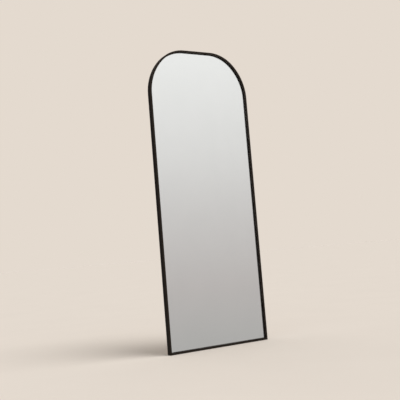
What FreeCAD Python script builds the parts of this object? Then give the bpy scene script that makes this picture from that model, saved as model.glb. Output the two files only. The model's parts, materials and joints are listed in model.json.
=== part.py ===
import FreeCAD, Part
import math
import os

V = FreeCAD.Vector

# Overall size in millimetres, feet included
WIDTH = 600.0
HEIGHT = 1600.0

# Each shoulder is a tight arc beside the flat top and a wider arc beside the leg
TOP_ARC_RADIUS = 200.0
SIDE_ARC_RADIUS = 265.0
ARC_SPLIT_ANGLE = 45.0

# Frame section: a hollow tube, then a groove for the gasket, then the lip that hooks over the glass
TUBE_WIDTH = 7.0
GROOVE_WIDTH = 2.0
LIP_DEPTH = 8.0
WALL = 1.4
REAR_WALL = 2.5
EDGE_RADIUS = 0.8

# Pack inside the frame, from front to back
GASKET_THICKNESS = 1.0
GLASS_THICKNESS = 4.0
GLASS_ARRIS = 0.4
FILM_THICKNESS = 0.25
FILM_MARGIN = 1.0
CUSHION_THICKNESS = 4.75
BOARD_THICKNESS = 12.0
BOARD_ARRIS = 0.5
PACK_EDGE_CLEARANCE = 0.6
GASKET_CLEARANCE = 0.3

# Setting blocks under the glass
BLOCK_LENGTH = 40.0
BLOCK_THICKNESS = 1.6
BLOCK_SPACING = 300.0

# Corner keys inside the mitred corners
KEY_LEG = 45.0
KEY_CLEARANCE = 0.1

# Feet under the bottom rail
PAD_LENGTH = 40.0
PAD_THICKNESS = 1.5
PAD_MARGIN = 2.5
PAD_FROM_SIDE = 80.0
PAD_CORNER_RADIUS = 3.0
STEM_RADIUS = 2.5
STEM_CLEARANCE = 0.1
BARB_OVERHANG = 0.5
BARB_HEIGHT = 1.2

# Turn buttons on the back of the frame, and their screws
BUTTONS_PER_LEG = 3
BUTTON_REACH = 22.0
BUTTON_THICKNESS = 1.2
BUTTON_TAB_HEIGHT = 2.0
BUTTON_GAP = 0.2
BUTTON_SCREW_RADIUS = 1.5
BUTTON_SCREW_TAIL = 2.0
PIVOT_CLEARANCE = 0.1

# Screws: clearance in their holes, head proportions and cross recess
SCREW_CLEARANCE = 0.1
HEAD_RATIO = 1.85
HEAD_HEIGHT_RATIO = 1.25
HEAD_DOME_RATIO = 0.5
RECESS_LENGTH_RATIO = 1.1
RECESS_WIDTH_RATIO = 0.3
RECESS_DEPTH_RATIO = 0.55

# Hanger straps and their D-rings
HANGER_FROM_SIDE = 100.0
HANGER_DROP = 380.0
STRAP_WIDTH = 17.0
STRAP_THICKNESS = 1.2
STRAP_CORNER_RADIUS = 4.0
STRAP_HOLE_MARGIN = 7.0
STRAP_HOLE_PITCH = 18.0
BOARD_SCREW_RADIUS = 1.9
BOARD_SKIN = 2.0
PILOT_END_ROOM = 0.5
RING_WIRE_RADIUS = 2.0
RING_SIDE_GAP = 1.5
RING_CORNER_RADIUS = 3.0
RING_LEG = 3.0
RING_BORE_CLEARANCE = 0.1
RING_LIFT = 0.4

# Rubber bumpers on the back of the board
BUMPER_HEIGHT = 10.0
BUMPER_BASE_RADIUS = 9.0
BUMPER_TIP_RADIUS = 7.5
BUMPER_SEAT_HEIGHT = 4.0
BUMPER_POCKET_CLEARANCE = 0.7
LOW_BUMPER_MARGIN = 45.0
TOP_BUMPER_SPACING = 220.0
TOP_BUMPER_DROP = 60.0

# Distance within which an edge counts as lying in a plane
TOLERANCE = 0.01

# Sizes that follow from the ones above
FACE_WIDTH = TUBE_WIDTH + GROOVE_WIDTH + WALL
GLASS_FRONT = LIP_DEPTH + GASKET_THICKNESS
GLASS_BACK = GLASS_FRONT + GLASS_THICKNESS
FILM_BACK = GLASS_BACK + FILM_THICKNESS
CUSHION_BACK = FILM_BACK + CUSHION_THICKNESS
FRAME_DEPTH = CUSHION_BACK + BOARD_THICKNESS
TOTAL_DEPTH = FRAME_DEPTH + BUMPER_HEIGHT
FRONT_Y = -TOTAL_DEPTH / 2
FRAME_BASE = PAD_THICKNESS
PACK_INSET = TUBE_WIDTH + PACK_EDGE_CLEARANCE
GLASS_BASE_INSET = TUBE_WIDTH + BLOCK_THICKNESS
WEB_FRONT = (FRAME_DEPTH - WALL) / 2
REAR_CHAMBER = (WEB_FRONT + WALL, FRAME_DEPTH - REAR_WALL)
ARC_SPLIT = math.radians(ARC_SPLIT_ANGLE)
ARC_STEP = SIDE_ARC_RADIUS - TOP_ARC_RADIUS
TOP_ARC_X = WIDTH / 2 - SIDE_ARC_RADIUS + ARC_STEP * math.cos(ARC_SPLIT)
TOP_ARC_Z = HEIGHT - TOP_ARC_RADIUS
SIDE_ARC_X = WIDTH / 2 - SIDE_ARC_RADIUS
SIDE_ARC_Z = TOP_ARC_Z - ARC_STEP * math.sin(ARC_SPLIT)
BOARD_SCREW_BITE = BOARD_THICKNESS - BOARD_SKIN - PILOT_END_ROOM
BOARD_HEAD_RADIUS = BOARD_SCREW_RADIUS * HEAD_RATIO
RING_HALF_WIDTH = STRAP_WIDTH / 2 + RING_SIDE_GAP + RING_WIRE_RADIUS
RING_AXIS = STRAP_THICKNESS + RING_LIFT + RING_WIRE_RADIUS
RING_BEND_DROP = RING_CORNER_RADIUS + RING_LEG
RING_LENGTH = RING_BEND_DROP + RING_HALF_WIDTH + RING_WIRE_RADIUS
HANGER_Z = HEIGHT - HANGER_DROP
HANGER_SPACING = WIDTH - 2 * HANGER_FROM_SIDE
BUTTON_FRONT = FRAME_DEPTH + BUTTON_GAP
BUTTON_BACK = BUTTON_FRONT + BUTTON_THICKNESS


def depth(v):
    """The Y of the plane that lies v behind the front face of the frame."""
    return FRONT_Y + v


def block(x0, x1, v0, v1, z0, z1):
    return Part.makeBox(x1 - x0, v1 - v0, z1 - z0, V(x0, depth(v0), z0))


def rod(x, z, radius, v0, v1):
    """A cylinder along Y."""
    return Part.makeCylinder(radius, v1 - v0, V(x, depth(v0), z), V(0, 1, 0))


def line(a, b):
    return Part.makeLine(a, b)


def arc(centre, radius, start, end):
    """An arc in the XZ plane, from one angle to another."""
    points = []
    for angle in (start, (start + end) / 2, end):
        points.append(centre + V(radius * math.cos(angle), 0, radius * math.sin(angle)))
    return Part.Arc(*points).toShape()


def outline(inset, base_inset):
    """The closed outline of the frame, moved inwards by inset, with its own inset along the base."""
    half = WIDTH / 2 - inset
    base = FRAME_BASE + base_inset
    top = HEIGHT - inset
    side_radius = SIDE_ARC_RADIUS - inset
    top_radius = TOP_ARC_RADIUS - inset
    quarter = math.pi / 2
    edges = [
        line(V(-half, 0, base), V(half, 0, base)),
        line(V(half, 0, base), V(half, 0, SIDE_ARC_Z)),
        arc(V(SIDE_ARC_X, 0, SIDE_ARC_Z), side_radius, 0, ARC_SPLIT),
        arc(V(TOP_ARC_X, 0, TOP_ARC_Z), top_radius, ARC_SPLIT, quarter),
        line(V(TOP_ARC_X, 0, top), V(-TOP_ARC_X, 0, top)),
        arc(V(-TOP_ARC_X, 0, TOP_ARC_Z), top_radius, quarter, math.pi - ARC_SPLIT),
        arc(V(-SIDE_ARC_X, 0, SIDE_ARC_Z), side_radius, math.pi - ARC_SPLIT, math.pi),
        line(V(-half, 0, SIDE_ARC_Z), V(-half, 0, base)),
    ]
    return Part.Wire(edges)


def slab(inset, v0, v1, base_inset=None):
    """The outline as a plate between two depths."""
    wire = outline(inset, inset if base_inset is None else base_inset)
    plate = Part.Face(wire).extrude(V(0, v1 - v0, 0))
    plate.translate(V(0, depth(v0), 0))
    return plate


def band(outer_inset, inner_inset, v0, v1):
    """The band between two insets of the outline."""
    return slab(outer_inset, v0, v1).cut(slab(inner_inset, v0, v1))


def edges_at_depth(shape, v):
    y = depth(v)
    flat = []
    for edge in shape.Edges:
        box = edge.BoundBox
        if abs(box.YMin - y) < TOLERANCE and abs(box.YMax - y) < TOLERANCE:
            flat.append(edge)
    return flat


def button_places():
    """Name, pivot X, pivot Z and the inward direction of each turn button."""
    middle = TUBE_WIDTH / 2
    side = WIDTH / 2 - middle
    pitch = (SIDE_ARC_Z - FRAME_BASE) / BUTTONS_PER_LEG
    places = []
    for number in range(BUTTONS_PER_LEG):
        z = FRAME_BASE + (number + 0.5) * pitch
        places.append(("turn_button_left_%d" % (number + 1), -side, z, V(1, 0, 0)))
        places.append(("turn_button_right_%d" % (number + 1), side, z, V(-1, 0, 0)))
    places.append(("turn_button_top", 0.0, HEIGHT - middle, V(0, 0, -1)))
    places.append(("turn_button_bottom", 0.0, FRAME_BASE + middle, V(0, 0, 1)))
    return places


def bumper_places():
    """Name, X and Z of each bumper."""
    low_x = WIDTH / 2 - LOW_BUMPER_MARGIN
    low_z = FRAME_BASE + LOW_BUMPER_MARGIN
    top_x = TOP_BUMPER_SPACING / 2
    top_z = HEIGHT - TOP_BUMPER_DROP
    return [
        ("bumper_low_left", -low_x, low_z),
        ("bumper_low_right", low_x, low_z),
        ("bumper_top_left", -top_x, top_z),
        ("bumper_top_right", top_x, top_z),
    ]


def pad_places():
    """Name and X of each foot."""
    x = WIDTH / 2 - PAD_FROM_SIDE
    return [("foot_pad_left", -x), ("foot_pad_right", x)]


def hanger_places():
    """Name ending and X of each hanger."""
    return [("left", -HANGER_SPACING / 2), ("right", HANGER_SPACING / 2)]


def strap_hole_heights():
    """The Z of the two screw holes in a strap, both clear of the ring that hangs over it."""
    first = HANGER_Z - RING_LENGTH - BOARD_HEAD_RADIUS - RING_SIDE_GAP
    return [first, first - STRAP_HOLE_PITCH]


def stem_depth():
    """The feet's stems stand in the middle of the rear chamber."""
    return sum(REAR_CHAMBER) / 2


def screw(x, z, radius, head_v, length):
    """A domed cross-recess screw from behind: its head rests at head_v and its shank runs forwards."""
    head_radius = radius * HEAD_RATIO
    head_height = radius * HEAD_HEIGHT_RATIO
    head = rod(x, z, head_radius, head_v, head_v + head_height)
    head = head.makeFillet(head_height * HEAD_DOME_RATIO, edges_at_depth(head, head_v + head_height))
    body = head.fuse(rod(x, z, radius, head_v - length, head_v)).removeSplitter()
    arm = head_radius * RECESS_LENGTH_RATIO / 2
    thin = head_radius * RECESS_WIDTH_RATIO / 2
    floor = head_v + head_height * (1 - RECESS_DEPTH_RATIO)
    above = head_v + 2 * head_height
    for dx, dz in ((arm, thin), (thin, arm)):
        body = body.cut(block(x - dx, x + dx, floor, above, z - dz, z + dz))
    return body


def frame():
    """The whole frame loop, before it is parted at the mitres."""
    body = slab(0, 0, FRAME_DEPTH)
    body = body.cut(slab(FACE_WIDTH, 0, LIP_DEPTH))
    body = body.cut(slab(TUBE_WIDTH, LIP_DEPTH, FRAME_DEPTH))
    body = body.cut(band(TUBE_WIDTH, FACE_WIDTH - WALL, WALL, LIP_DEPTH))
    body = body.makeFillet(EDGE_RADIUS, edges_at_depth(body, 0) + edges_at_depth(body, FRAME_DEPTH))
    body = body.cut(band(WALL, TUBE_WIDTH - WALL, WALL, WEB_FRONT))
    body = body.cut(band(WALL, TUBE_WIDTH - WALL, *REAR_CHAMBER))
    hole_radius = BUTTON_SCREW_RADIUS + SCREW_CLEARANCE
    hole_end = FRAME_DEPTH - REAR_WALL - BUTTON_SCREW_TAIL - SCREW_CLEARANCE
    for _, x, z, _ in button_places():
        body = body.cut(rod(x, z, hole_radius, hole_end, FRAME_DEPTH))
    for _, x in pad_places():
        seat = V(x, depth(stem_depth()), FRAME_BASE)
        body = body.cut(Part.makeCylinder(STEM_RADIUS + STEM_CLEARANCE, WALL, seat))
    return body


def mitre_wedge():
    """The triangle under both 45-degree mitre planes, which holds the bottom rail."""
    half = WIDTH / 2
    corners = [V(-half, 0, FRAME_BASE), V(half, 0, FRAME_BASE), V(0, 0, FRAME_BASE + half)]
    wedge = Part.Face(Part.makePolygon(corners + corners[:1])).extrude(V(0, FRAME_DEPTH, 0))
    wedge.translate(V(0, depth(0), 0))
    return wedge


def corner_key(side):
    """An L-shaped key in the rear chamber, across one mitre; side is -1 on the left and 1 on the right."""
    inset = WALL + KEY_CLEARANCE
    loop = band(inset, TUBE_WIDTH - inset, REAR_CHAMBER[0] + KEY_CLEARANCE, REAR_CHAMBER[1] - KEY_CLEARANCE)
    edge = side * WIDTH / 2
    x0, x1 = sorted((edge, edge - side * KEY_LEG))
    return loop.common(block(x0, x1, 0, FRAME_DEPTH, FRAME_BASE, FRAME_BASE + KEY_LEG))


def glazing_gasket():
    """A strip with a stem in the groove and a flat band between the lip and the glass."""
    stem_front = WALL + GASKET_CLEARANCE
    strip = slab(TUBE_WIDTH + GASKET_CLEARANCE, stem_front, GLASS_FRONT)
    strip = strip.cut(slab(FACE_WIDTH - WALL - GASKET_CLEARANCE, stem_front, LIP_DEPTH))
    return strip.cut(slab(FACE_WIDTH - GASKET_CLEARANCE, LIP_DEPTH, GLASS_FRONT))


def arrised(plate, v0, v1, size):
    """A plate with its two long edges taken off."""
    return plate.makeChamfer(size, edges_at_depth(plate, v0) + edges_at_depth(plate, v1))


def mirror_glass():
    plate = slab(PACK_INSET, GLASS_FRONT, GLASS_BACK, GLASS_BASE_INSET)
    return arrised(plate, GLASS_FRONT, GLASS_BACK, GLASS_ARRIS)


def safety_film():
    return slab(PACK_INSET + FILM_MARGIN, GLASS_BACK, FILM_BACK, GLASS_BASE_INSET + FILM_MARGIN)


def cushion_sheet():
    return slab(PACK_INSET, FILM_BACK, CUSHION_BACK)


def board_screw_places():
    """The X and Z of every screw that goes into the board."""
    places = [(x, z) for _, x, z in bumper_places()]
    for _, x in hanger_places():
        places += [(x, z) for z in strap_hole_heights()]
    return places


def back_board():
    plate = arrised(slab(PACK_INSET, CUSHION_BACK, FRAME_DEPTH), CUSHION_BACK, FRAME_DEPTH, BOARD_ARRIS)
    pilot = BOARD_SCREW_RADIUS + SCREW_CLEARANCE
    for x, z in board_screw_places():
        plate = plate.cut(rod(x, z, pilot, FRAME_DEPTH - BOARD_SCREW_BITE - PILOT_END_ROOM, FRAME_DEPTH))
    return plate


def setting_blocks():
    base = FRAME_BASE + TUBE_WIDTH
    blocks = []
    for side in (-1, 1):
        x = side * BLOCK_SPACING / 2
        start, end = x - BLOCK_LENGTH / 2, x + BLOCK_LENGTH / 2
        blocks.append(block(start, end, GLASS_FRONT, GLASS_BACK, base, base + BLOCK_THICKNESS))
    return Part.makeCompound(blocks)


def foot_pad(x):
    """A thin pad with a barbed stem that snaps through the underside of the bottom rail."""
    half = PAD_LENGTH / 2
    pad = block(x - half, x + half, PAD_MARGIN, FRAME_DEPTH - PAD_MARGIN, 0, PAD_THICKNESS)
    upright = [e for e in pad.Edges if abs(e.BoundBox.ZLength - PAD_THICKNESS) < TOLERANCE]
    pad = pad.makeFillet(PAD_CORNER_RADIUS, upright)
    foot = V(x, depth(stem_depth()), FRAME_BASE)
    barb_seat = WALL + STEM_CLEARANCE
    stem = Part.makeCylinder(STEM_RADIUS, barb_seat + BARB_HEIGHT, foot)
    barb = Part.makeCone(STEM_RADIUS + BARB_OVERHANG, STEM_RADIUS, BARB_HEIGHT, foot + V(0, 0, barb_seat))
    return pad.fuse([stem, barb]).removeSplitter()


def turn_button(x, z, inward):
    """A flat button on its screw, with a raised tab at the tip; at rest it points over the board."""
    radius = TUBE_WIDTH / 2
    tip = V(x, 0, z) + inward * BUTTON_REACH
    across = V(inward.z, 0, inward.x) * radius
    pivot = V(x, 0, z)
    heel = pivot - inward * radius
    corners = [pivot + across, tip + across, tip - across, pivot - across]
    edges = [
        line(corners[0], corners[1]),
        line(corners[1], corners[2]),
        line(corners[2], corners[3]),
        Part.Arc(corners[3], heel, corners[0]).toShape(),
    ]
    plate = Part.Face(Part.Wire(edges)).extrude(V(0, BUTTON_THICKNESS, 0))
    plate.translate(V(0, depth(BUTTON_FRONT), 0))
    root = tip - inward * BUTTON_THICKNESS
    reach = [root + across, tip + across, tip - across, root - across]
    tab = Part.Face(Part.makePolygon(reach + reach[:1])).extrude(V(0, BUTTON_TAB_HEIGHT, 0))
    tab.translate(V(0, depth(BUTTON_BACK), 0))
    body = plate.fuse(tab).removeSplitter()
    return body.cut(rod(x, z, BUTTON_SCREW_RADIUS + PIVOT_CLEARANCE, BUTTON_FRONT, BUTTON_BACK))


def turn_button_screws():
    head_v = BUTTON_BACK + BUTTON_GAP
    length = head_v - FRAME_DEPTH + REAR_WALL + BUTTON_SCREW_TAIL
    places = [(x, z) for _, x, z, _ in button_places()]
    return Part.makeCompound([screw(x, z, BUTTON_SCREW_RADIUS, head_v, length) for x, z in places])


def hanger_strap(x):
    """A strap folded round the straight bar of its ring, with two screw holes below."""
    half = STRAP_WIDTH / 2
    bore = RING_WIRE_RADIUS + RING_BORE_CLEARANCE
    holes = strap_hole_heights()
    end = holes[-1] - STRAP_HOLE_MARGIN
    back = FRAME_DEPTH + STRAP_THICKNESS
    plate = block(x - half, x + half, FRAME_DEPTH, back, end, HANGER_Z)
    across = [e for e in plate.Edges if e.BoundBox.YLength > STRAP_THICKNESS - TOLERANCE]
    lower = [e for e in across if e.BoundBox.ZMax < end + TOLERANCE]
    plate = plate.makeFillet(STRAP_CORNER_RADIUS, lower)
    eye = V(x - half, depth(FRAME_DEPTH + RING_AXIS), HANGER_Z)
    loop = Part.makeCylinder(bore + STRAP_THICKNESS, STRAP_WIDTH, eye, V(1, 0, 0))
    strap = plate.fuse(loop).cut(Part.makeCylinder(bore, STRAP_WIDTH, eye, V(1, 0, 0))).removeSplitter()
    for z in holes:
        strap = strap.cut(rod(x, z, BOARD_SCREW_RADIUS + SCREW_CLEARANCE, FRAME_DEPTH, back))
    return strap


def d_ring(x):
    """A closed ring of round wire: a straight bar in the strap, two short legs and a half circle below."""
    half = RING_HALF_WIDTH
    corner = RING_CORNER_RADIUS
    bend_z = HANGER_Z - RING_BEND_DROP
    corner_z = HANGER_Z - corner
    quarter = math.pi / 2
    edges = [
        line(V(corner - half, 0, HANGER_Z), V(half - corner, 0, HANGER_Z)),
        arc(V(half - corner, 0, corner_z), corner, quarter, 0),
        line(V(half, 0, corner_z), V(half, 0, bend_z)),
        arc(V(0, 0, bend_z), half, 0, -math.pi),
        line(V(-half, 0, bend_z), V(-half, 0, corner_z)),
        arc(V(corner - half, 0, corner_z), corner, math.pi, quarter),
    ]
    path = Part.Wire(edges)
    section = Part.Wire(Part.makeCircle(RING_WIRE_RADIUS, V(corner - half, 0, HANGER_Z), V(1, 0, 0)))
    wire = path.makePipeShell([section], True, False)
    wire.translate(V(x, depth(FRAME_DEPTH + RING_AXIS), 0))
    return wire


def hanger_screws():
    head_v = FRAME_DEPTH + STRAP_THICKNESS
    length = STRAP_THICKNESS + BOARD_SCREW_BITE
    places = [(x, z) for _, x in hanger_places() for z in strap_hole_heights()]
    return Part.makeCompound([screw(x, z, BOARD_SCREW_RADIUS, head_v, length) for x, z in places])


def bumper(x, z):
    """A tapered rubber bumper with a pocket for its screw."""
    base = V(x, depth(FRAME_DEPTH), z)
    body = Part.makeCone(BUMPER_BASE_RADIUS, BUMPER_TIP_RADIUS, BUMPER_HEIGHT, base, V(0, 1, 0))
    seat = FRAME_DEPTH + BUMPER_SEAT_HEIGHT
    body = body.cut(rod(x, z, BOARD_HEAD_RADIUS + BUMPER_POCKET_CLEARANCE, seat, TOTAL_DEPTH))
    return body.cut(rod(x, z, BOARD_SCREW_RADIUS + SCREW_CLEARANCE, FRAME_DEPTH, seat))


def bumper_screws():
    head_v = FRAME_DEPTH + BUMPER_SEAT_HEIGHT
    length = BUMPER_SEAT_HEIGHT + BOARD_SCREW_BITE
    places = [(x, z) for _, x, z in bumper_places()]
    return Part.makeCompound([screw(x, z, BOARD_SCREW_RADIUS, head_v, length) for x, z in places])


def pieces():
    """Every piece by its name."""
    loop = frame()
    wedge = mitre_wedge()
    found = {
        "arch_frame": loop.cut(wedge),
        "bottom_rail": loop.common(wedge),
        "corner_key_left": corner_key(-1),
        "corner_key_right": corner_key(1),
        "glazing_gasket": glazing_gasket(),
        "mirror_glass": mirror_glass(),
        "safety_film": safety_film(),
        "cushion_sheet": cushion_sheet(),
        "back_board": back_board(),
        "setting_blocks": setting_blocks(),
        "turn_button_screws": turn_button_screws(),
        "hanger_screws": hanger_screws(),
        "bumper_screws": bumper_screws(),
    }
    for name, x, z, inward in button_places():
        found[name] = turn_button(x, z, inward)
    for name, x, z in bumper_places():
        found[name] = bumper(x, z)
    for name, x in pad_places():
        found[name] = foot_pad(x)
    for side, x in hanger_places():
        found["hanger_strap_" + side] = hanger_strap(x)
        found["d_ring_" + side] = d_ring(x)
    return found


os.makedirs("parts", exist_ok=True)
for piece_name, shape in pieces().items():
    shape.exportStep("parts/" + piece_name + ".step")
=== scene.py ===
import json
import math

import bpy
from mathutils import Matrix, Vector


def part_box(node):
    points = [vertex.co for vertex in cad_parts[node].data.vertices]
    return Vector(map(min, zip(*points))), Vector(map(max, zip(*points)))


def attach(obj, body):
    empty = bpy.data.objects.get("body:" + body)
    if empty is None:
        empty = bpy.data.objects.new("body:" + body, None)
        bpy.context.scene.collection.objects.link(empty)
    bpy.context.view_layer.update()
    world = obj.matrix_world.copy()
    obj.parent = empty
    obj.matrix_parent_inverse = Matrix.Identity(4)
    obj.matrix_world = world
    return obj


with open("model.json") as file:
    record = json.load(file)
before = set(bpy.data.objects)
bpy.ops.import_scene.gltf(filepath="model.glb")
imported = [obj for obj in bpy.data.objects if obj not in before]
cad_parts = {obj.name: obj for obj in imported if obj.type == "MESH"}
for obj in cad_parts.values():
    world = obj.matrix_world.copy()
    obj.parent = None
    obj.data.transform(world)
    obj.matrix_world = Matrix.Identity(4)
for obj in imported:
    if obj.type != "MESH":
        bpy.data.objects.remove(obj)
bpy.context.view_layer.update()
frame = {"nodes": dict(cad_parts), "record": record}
nodes = frame["nodes"]

# Camera, in the part's own frame: metres, degrees, and millimetres for the lens
CAMERA_PLACE = (-1.7553, -3.0279, 0.5117)
CAMERA_YAW = 29.476
CAMERA_PITCH = 4.513
CAMERA_ROLL = -4.691
CAMERA_LENS = 58.513

# Stage: a pale floor that runs out of sight, under a backdrop of the same colour
FLOOR_SIZE = 120.0
FLOOR_MOTTLE = 0.008
BACKDROP = (0.776, 0.701, 0.624)

# Light: even all round, with one soft lamp whose azimuth runs from the front to the right, in degrees
AMBIENT = 0.62
SUN_STRENGTH = 1.85
SUN_ANGLE = 35.0
SUN_ELEVATION = 60.0
SUN_AZIMUTH = 38.0

# What the mirror shows, by elevation in degrees: pale above, grey below, paler again underfoot
STUDIO_TONES = [
    (-90, (0.72, 0.67, 0.62)),
    (-30, (0.56, 0.53, 0.51)),
    (-14, (0.44, 0.43, 0.42)),
    (-8, (0.44, 0.43, 0.42)),
    (-3, (0.51, 0.48, 0.47)),
    (3, (0.61, 0.59, 0.58)),
    (9, (0.74, 0.73, 0.72)),
    (17, (0.87, 0.87, 0.86)),
    (35, (0.96, 0.96, 0.96)),
    (90, (1.00, 1.00, 1.00)),
]

# A soft dark flag in that studio keeps the left side of the frame as dark as its front.
# It fades in between two cosines of the angle from its middle.
FLAG_TOWARDS = Vector((-0.5, 1.0, 0.3)).normalized()
FLAG_EDGE = (0.66, 0.88)
FLAG_TONE = 0.10

# Glass: its bend of light, and how rough its ground edge is
GLASS_IOR = 1.52
GROUND_EDGE_ROUGHNESS = 0.75

# The silver lies a hair inside the back of the glass
SILVER_DEPTH = 0.00005
SILVER_THICKNESS = 0.00003
FLAT_TOLERANCE = 0.00001

# The wave texture turns by this many radians in a metre at a scale of one
WAVE_PHASE = 20

# The mix node's sockets for a factor and two colours, and for the mixed colour
MIX_COLOUR_INPUTS = (0, 6, 7)
MIX_COLOUR_OUTPUT = 2


# Shader building blocks
def start(name):
    """A new node material, its tree and its shader."""
    material = bpy.data.materials.new(name)
    material.use_nodes = True
    return material, material.node_tree, material.node_tree.nodes["Principled BSDF"]


def grey(tone):
    """A grey as the colour sockets take it."""
    return (tone, tone, tone, 1)


def place(tree, scale=(1, 1, 1)):
    """Coordinates in metres that stay with the piece. A scale under one draws patterns out."""
    source = tree.nodes.new("ShaderNodeTexCoord")
    mapping = tree.nodes.new("ShaderNodeMapping")
    mapping.inputs["Scale"].default_value = scale
    tree.links.new(source.outputs["Object"], mapping.inputs["Vector"])
    return mapping.outputs["Vector"]


def square_to(tree, axis):
    """A factor of one on faces square to an axis of the piece, and of zero on faces along it."""
    source = tree.nodes.new("ShaderNodeTexCoord")
    split = tree.nodes.new("ShaderNodeSeparateXYZ")
    size = tree.nodes.new("ShaderNodeMath")
    size.operation = "ABSOLUTE"
    tree.links.new(source.outputs["Normal"], split.inputs["Vector"])
    tree.links.new(split.outputs[axis], size.inputs[0])
    return size.outputs["Value"]


def noise(tree, vector, grain, detail=3.0, roughness=0.55):
    """Noise whose grain is about that many metres."""
    node = tree.nodes.new("ShaderNodeTexNoise")
    node.inputs["Scale"].default_value = 1 / grain
    node.inputs["Detail"].default_value = detail
    node.inputs["Roughness"].default_value = roughness
    tree.links.new(vector, node.inputs["Vector"])
    return node.outputs["Fac"]


def cells(tree, vector, grain):
    """Distance to the nearest of scattered points, about that many metres apart."""
    node = tree.nodes.new("ShaderNodeTexVoronoi")
    node.inputs["Scale"].default_value = 1 / grain
    tree.links.new(vector, node.inputs["Vector"])
    return node.outputs["Distance"]


def waves(tree, vector, period, direction, distortion=0.0):
    """Parallel waves of that period in metres, along one axis."""
    node = tree.nodes.new("ShaderNodeTexWave")
    node.bands_direction = direction
    node.inputs["Scale"].default_value = math.tau / (WAVE_PHASE * period)
    node.inputs["Distortion"].default_value = distortion
    tree.links.new(vector, node.inputs["Vector"])
    return node.outputs["Fac"]


def between(tree, factor, low, high, start_at=0.3, end_at=0.7):
    """A number that goes from low to high as the factor does from start_at to end_at."""
    node = tree.nodes.new("ShaderNodeMapRange")
    node.inputs["From Min"].default_value = start_at
    node.inputs["From Max"].default_value = end_at
    node.inputs["To Min"].default_value = low
    node.inputs["To Max"].default_value = high
    tree.links.new(factor, node.inputs["Value"])
    return node.outputs["Result"]


def ramp(tree, factor, stops):
    """Colours at the given positions of the factor, with straight runs between them."""
    node = tree.nodes.new("ShaderNodeValToRGB")
    elements = node.color_ramp.elements
    while len(elements) < len(stops):
        elements.new(1.0)
    for element, (position, colour) in zip(elements, stops):
        element.position = position
        element.color = (*colour, 1)
    tree.links.new(factor, node.inputs["Fac"])
    return node.outputs["Color"]


def shades(tree, factor, *colours, start_at=0.3, end_at=0.7):
    """Colours spread evenly over the factor from start_at to end_at."""
    step = (end_at - start_at) / (len(colours) - 1)
    stops = [(start_at + step * index, colour) for index, colour in enumerate(colours)]
    return ramp(tree, factor, stops)


def blend(tree, factor, first, second, mode="MIX"):
    """Two colours mixed by a factor. Each of the three is a socket or a plain value."""
    node = tree.nodes.new("ShaderNodeMix")
    node.data_type = "RGBA"
    node.blend_type = mode
    for index, value in zip(MIX_COLOUR_INPUTS, (factor, first, second)):
        if isinstance(value, bpy.types.NodeSocket):
            tree.links.new(value, node.inputs[index])
        else:
            node.inputs[index].default_value = value
    return node.outputs[MIX_COLOUR_OUTPUT]


def relief(tree, shader, height, depth, strength):
    """Bump of that depth in metres."""
    node = tree.nodes.new("ShaderNodeBump")
    node.inputs["Strength"].default_value = strength
    node.inputs["Distance"].default_value = depth
    tree.links.new(height, node.inputs["Height"])
    tree.links.new(node.outputs["Normal"], shader.inputs["Normal"])


def drive(tree, shader, **sockets):
    """Links each value to the shader's socket of that name, with _ for a space."""
    for name, value in sockets.items():
        tree.links.new(value, shader.inputs[name.replace("_", " ")])


# Finishes, one for each material slot of the record
def frame_black():
    """Satin powder coat: warm near black, with a fine orange peel and a faint speckle."""
    material, tree, shader = start("satin_black_coat")
    peel = noise(tree, place(tree), grain=0.0012, detail=1.5)
    speck = noise(tree, place(tree), grain=0.0035, detail=4.0)
    drive(
        tree, shader,
        Base_Color=shades(tree, speck, (0.0048, 0.0031, 0.0020), (0.0069, 0.0046, 0.0032)),
        Roughness=between(tree, speck, low=0.48, high=0.58),
    )
    shader.inputs["Specular IOR Level"].default_value = 0.35
    shader.inputs["Specular Tint"].default_value = (1.0, 0.80, 0.64, 1)
    relief(tree, shader, peel, depth=0.00003, strength=0.5)
    return material


def key_metal():
    """Mill-finish aluminium with die lines along the extrusion."""
    material, tree, shader = start("mill_aluminium")
    lines = noise(tree, place(tree, scale=(1, 1, 0.02)), grain=0.0004, detail=4.0)
    drive(
        tree, shader,
        Base_Color=shades(tree, lines, (0.68, 0.68, 0.69), (0.80, 0.80, 0.81)),
        Roughness=between(tree, lines, low=0.28, high=0.42),
    )
    shader.inputs["Metallic"].default_value = 1.0
    relief(tree, shader, lines, depth=0.00002, strength=0.4)
    return material


def rubber(name, dark, light, grain):
    """Moulded rubber: matt, with a fine tooth and a bloom of paler patches."""
    material, tree, shader = start(name)
    tooth = noise(tree, place(tree), grain, detail=2.0)
    bloom = noise(tree, place(tree), grain=0.009, detail=3.0)
    drive(
        tree, shader,
        Base_Color=shades(tree, bloom, dark, light),
        Roughness=between(tree, bloom, low=0.62, high=0.82),
    )
    shader.inputs["Specular IOR Level"].default_value = 0.35
    relief(tree, shader, tooth, depth=0.00006, strength=0.5)
    return material


def clear_glass():
    """Float glass, faintly green, with the least trace of wiping and a ground edge."""
    material, tree, shader = start("float_glass")
    wiping = noise(tree, place(tree, scale=(1, 1, 0.35)), grain=0.09, detail=4.0)
    polished = shades(tree, wiping, (0.972, 0.982, 0.977), (0.984, 0.991, 0.987))
    smooth = between(tree, wiping, low=0.0, high=0.004, start_at=0.5, end_at=0.8)
    grinding = noise(tree, place(tree), grain=0.0005, detail=3.0)
    ground = shades(tree, grinding, (0.20, 0.29, 0.26), (0.30, 0.40, 0.36))
    flat = square_to(tree, "Y")
    drive(
        tree, shader,
        Base_Color=blend(tree, flat, ground, polished),
        Roughness=blend(tree, flat, grey(GROUND_EDGE_ROUGHNESS), smooth),
    )
    shader.inputs["Transmission Weight"].default_value = 1.0
    shader.inputs["IOR"].default_value = GLASS_IOR
    return material


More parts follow.
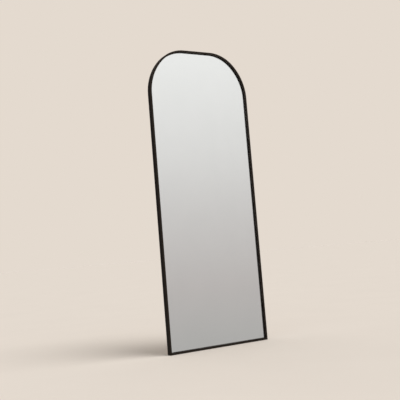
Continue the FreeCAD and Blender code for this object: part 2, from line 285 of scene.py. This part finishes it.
def silver():
    """Silver seen through the glass, a shade uneven as it was sprayed."""
    material, tree, shader = start("mirror_silver")
    cloud = noise(tree, place(tree), grain=0.16, detail=2.0)
    drive(
        tree, shader,
        Base_Color=shades(tree, cloud, (0.952, 0.955, 0.950), (0.965, 0.967, 0.962)),
        Roughness=between(tree, cloud, low=0.0, high=0.003),
    )
    shader.inputs["Metallic"].default_value = 1.0
    return material


def film():
    """Grey safety film with a woven scrim of threads."""
    material, tree, shader = start("safety_scrim")
    warp = waves(tree, place(tree), period=0.0022, direction="X", distortion=0.6)
    weft = waves(tree, place(tree), period=0.0022, direction="Z", distortion=0.6)
    scrim = blend(tree, 0.5, warp, weft)
    drive(
        tree, shader,
        Base_Color=shades(tree, scrim, (0.50, 0.53, 0.55), (0.62, 0.64, 0.65)),
        Roughness=between(tree, scrim, low=0.35, high=0.50),
    )
    relief(tree, shader, scrim, depth=0.00005, strength=0.6)
    return material


def corrugated_sheet():
    """Kraft corrugated board: fibres, and flutes that show through the liner."""
    material, tree, shader = start("kraft_corrugated")
    fibre = noise(tree, place(tree, scale=(1, 1, 0.25)), grain=0.0016, detail=5.0)
    flute = waves(tree, place(tree), period=0.0075, direction="X")
    brown = shades(tree, fibre, (0.34, 0.23, 0.13), (0.47, 0.34, 0.21))
    drive(
        tree, shader,
        Base_Color=blend(tree, 0.12, brown, flute, mode="SOFT_LIGHT"),
        Roughness=between(tree, fibre, low=0.78, high=0.92),
    )
    relief(tree, shader, flute, depth=0.0003, strength=0.6)
    return material


def board():
    """Sanded fibreboard: pressed fibres, fine darker flecks and broad clouding."""
    material, tree, shader = start("fibreboard")
    fibre = noise(tree, place(tree), grain=0.0011, detail=6.0, roughness=0.7)
    fleck = noise(tree, place(tree), grain=0.0024, detail=5.0, roughness=0.7)
    cloud = noise(tree, place(tree), grain=0.11, detail=3.0)
    body = shades(tree, fibre, (0.29, 0.19, 0.11), (0.40, 0.275, 0.165), (0.48, 0.34, 0.215))
    dark = between(tree, fleck, low=0.0, high=0.45, start_at=0.56, end_at=0.70)
    flecked = blend(tree, dark, body, (0.24, 0.15, 0.085, 1))
    pale = between(tree, cloud, low=0.0, high=0.25)
    clouded = blend(tree, pale, flecked, (0.52, 0.38, 0.24, 1))
    drive(tree, shader, Base_Color=clouded, Roughness=between(tree, fibre, low=0.66, high=0.84))
    shader.inputs["Specular IOR Level"].default_value = 0.3
    relief(tree, shader, fibre, depth=0.00012, strength=0.5)
    return material


def zinc_plate():
    """Bright zinc on pressed steel: fine spangle and light rubbing."""
    material, tree, shader = start("zinc_plate")
    spangle = cells(tree, place(tree), grain=0.0022)
    rub = noise(tree, place(tree, scale=(1, 1, 0.15)), grain=0.0008, detail=4.0)
    plate = shades(tree, spangle, (0.60, 0.61, 0.62), (0.70, 0.70, 0.69), start_at=0.1, end_at=0.6)
    drive(tree, shader, Base_Color=plate, Roughness=between(tree, rub, low=0.24, high=0.42))
    shader.inputs["Metallic"].default_value = 1.0
    relief(tree, shader, rub, depth=0.00002, strength=0.4)
    return material


def ring_steel():
    """Nickel-plated wire with draw marks along it."""
    material, tree, shader = start("nickel_wire")
    marks = noise(tree, place(tree, scale=(0.2, 1, 1)), grain=0.0005, detail=4.0)
    drive(
        tree, shader,
        Base_Color=shades(tree, marks, (0.66, 0.64, 0.60), (0.76, 0.74, 0.70)),
        Roughness=between(tree, marks, low=0.16, high=0.28),
    )
    shader.inputs["Metallic"].default_value = 1.0
    relief(tree, shader, marks, depth=0.00001, strength=0.4)
    return material


def screw_steel():
    """Passivated zinc on screws: a faint yellow cast over grey."""
    material, tree, shader = start("zinc_screw")
    cast = noise(tree, place(tree), grain=0.0025, detail=3.0)
    drive(
        tree, shader,
        Base_Color=shades(tree, cast, (0.58, 0.57, 0.53), (0.68, 0.68, 0.66)),
        Roughness=between(tree, cast, low=0.26, high=0.40),
    )
    shader.inputs["Metallic"].default_value = 1.0
    relief(tree, shader, cast, depth=0.00002, strength=0.3)
    return material


def dress_nodes():
    """Gives every CAD node the finish of its slot."""
    finishes = {
        "frame_black": frame_black(),
        "key_metal": key_metal(),
        "gasket_rubber": rubber("gasket_rubber", (0.010, 0.010, 0.010), (0.018, 0.018, 0.018), grain=0.0006),
        "mirror": clear_glass(),
        "film": film(),
        "corrugated_sheet": corrugated_sheet(),
        "board": board(),
        "block_rubber": rubber("block_rubber", (0.020, 0.020, 0.021), (0.032, 0.032, 0.033), grain=0.0009),
        "zinc_plate": zinc_plate(),
        "ring_steel": ring_steel(),
        "screw_steel": screw_steel(),
        "bumper_rubber": rubber("bumper_rubber", (0.030, 0.030, 0.031), (0.048, 0.048, 0.049), grain=0.0008),
        "foot_rubber": rubber("foot_rubber", (0.018, 0.018, 0.018), (0.030, 0.030, 0.030), grain=0.0008),
    }
    for subpart in frame["record"]["subparts"]:
        nodes[subpart["node"]].material_slots[0].material = finishes[subpart["material_slot"]]


# Pieces that only the looks need
def silver_coating():
    """The outline of the back of the glass, moved just inside it and given a thickness."""
    low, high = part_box("mirror_glass")
    middle = (low + high) / 2
    corners = [vertex.co for vertex in nodes["mirror_glass"].data.vertices]
    rim = {(co.x, co.z) for co in corners if high.y - co.y < FLAT_TOLERANCE}
    # The outline is convex, so its corners come in order by their direction from the middle
    outline = sorted(rim, key=lambda point: math.atan2(point[1] - middle.z, point[0] - middle.x))
    depths = (high.y - SILVER_DEPTH, high.y - SILVER_DEPTH + SILVER_THICKNESS)
    points = [(x, y, z) for y in depths for x, z in outline]
    front = list(range(len(outline)))
    rear = [index + len(outline) for index in front]
    edge = [(front[index], front[index - 1], rear[index - 1], rear[index]) for index in front]
    mesh = bpy.data.meshes.new("silver_coating")
    mesh.from_pydata(points, [], [front, rear[::-1], *edge])
    mesh.materials.append(silver())
    piece = bpy.data.objects.new("silver_coating", mesh)
    bpy.context.scene.collection.objects.link(piece)
    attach(piece, "mirror")


# Stage, light and camera
def pale_floor():
    """A finish that this light brings out in the backdrop's colour, with the least mottle."""
    material, tree, shader = start("pale_floor")
    lit = AMBIENT + SUN_STRENGTH * math.sin(math.radians(SUN_ELEVATION)) / math.pi
    tone = [value / lit for value in BACKDROP]
    mottle = noise(tree, place(tree), grain=0.5, detail=2.0)
    darker = tuple(value * (1 - FLOOR_MOTTLE) for value in tone)
    lighter = tuple(value * (1 + FLOOR_MOTTLE) for value in tone)
    drive(tree, shader, Base_Color=shades(tree, mottle, darker, lighter))
    shader.inputs["Roughness"].default_value = 1.0
    shader.inputs["Specular IOR Level"].default_value = 0.0
    return material


def floor():
    """A plain pale floor. Glossy and clear surfaces look past it to the plain studio."""
    half = FLOOR_SIZE / 2
    mesh = bpy.data.meshes.new("floor")
    corners = [(-half, -half, 0), (half, -half, 0), (half, half, 0), (-half, half, 0)]
    mesh.from_pydata(corners, [], [(0, 1, 2, 3)])
    mesh.materials.append(pale_floor())
    piece = bpy.data.objects.new("floor", mesh)
    bpy.context.scene.collection.objects.link(piece)
    piece.visible_glossy = False
    piece.visible_transmission = False


def studio_tones(tree):
    """The tones round the mirror: the gradient by elevation, with the dark flag over it."""
    direction = tree.nodes.new("ShaderNodeTexCoord")
    split = tree.nodes.new("ShaderNodeSeparateXYZ")
    tree.links.new(direction.outputs["Generated"], split.inputs["Vector"])
    height = between(tree, split.outputs["Z"], low=0.0, high=1.0, start_at=-1.0, end_at=1.0)
    stops = [((math.sin(math.radians(elevation)) + 1) / 2, tone) for elevation, tone in STUDIO_TONES]
    gradient = ramp(tree, height, stops)
    facing = tree.nodes.new("ShaderNodeVectorMath")
    facing.operation = "DOT_PRODUCT"
    facing.inputs[1].default_value = FLAG_TOWARDS
    tree.links.new(direction.outputs["Generated"], facing.inputs[0])
    fade_from, fade_to = FLAG_EDGE
    flag = between(tree, facing.outputs["Value"], low=0.0, high=1.0, start_at=fade_from, end_at=fade_to)
    return blend(tree, flag, gradient, grey(FLAG_TONE))


def studio():
    """Even light on the object, the studio's tones for what it mirrors, the backdrop for the eye."""
    world = bpy.data.worlds.new("studio")
    world.use_nodes = True
    tree = world.node_tree
    rays = tree.nodes.new("ShaderNodeLightPath")
    mirrored = tree.nodes.new("ShaderNodeMath")
    mirrored.operation = "MAXIMUM"
    tree.links.new(rays.outputs["Is Glossy Ray"], mirrored.inputs[0])
    tree.links.new(rays.outputs["Is Transmission Ray"], mirrored.inputs[1])
    around = blend(tree, mirrored.outputs["Value"], grey(AMBIENT), studio_tones(tree))
    shown = blend(tree, rays.outputs["Is Camera Ray"], around, (*BACKDROP, 1))
    tree.links.new(shown, tree.nodes["Background"].inputs["Color"])
    bpy.context.scene.world = world


def sun():
    """One broad soft light from the front, above and to the right."""
    lamp = bpy.data.lights.new("sun", "SUN")
    lamp.energy = SUN_STRENGTH
    lamp.angle = math.radians(SUN_ANGLE)
    piece = bpy.data.objects.new("sun", lamp)
    azimuth = math.radians(SUN_AZIMUTH)
    elevation = math.radians(SUN_ELEVATION)
    towards = Vector((
        math.sin(azimuth) * math.cos(elevation),
        -math.cos(azimuth) * math.cos(elevation),
        math.sin(elevation),
    ))
    piece.rotation_mode = "QUATERNION"
    piece.rotation_quaternion = towards.to_track_quat("Z", "Y")
    piece.visible_glossy = False
    piece.visible_transmission = False
    bpy.context.scene.collection.objects.link(piece)


def camera():
    """The camera at the photograph's viewing angle."""
    lens = bpy.data.cameras.new("camera")
    lens.lens = CAMERA_LENS
    piece = bpy.data.objects.new("camera", lens)
    turn = Matrix.Rotation(math.radians(-CAMERA_YAW), 4, "Z")
    lift = Matrix.Rotation(math.radians(90 + CAMERA_PITCH), 4, "X")
    roll = Matrix.Rotation(math.radians(CAMERA_ROLL), 4, "Z")
    piece.matrix_world = Matrix.Translation(CAMERA_PLACE) @ turn @ lift @ roll
    bpy.context.scene.collection.objects.link(piece)
    bpy.context.scene.camera = piece


bpy.context.scene.view_settings.view_transform = "Standard"
dress_nodes()
silver_coating()
floor()
studio()
sun()
camera()
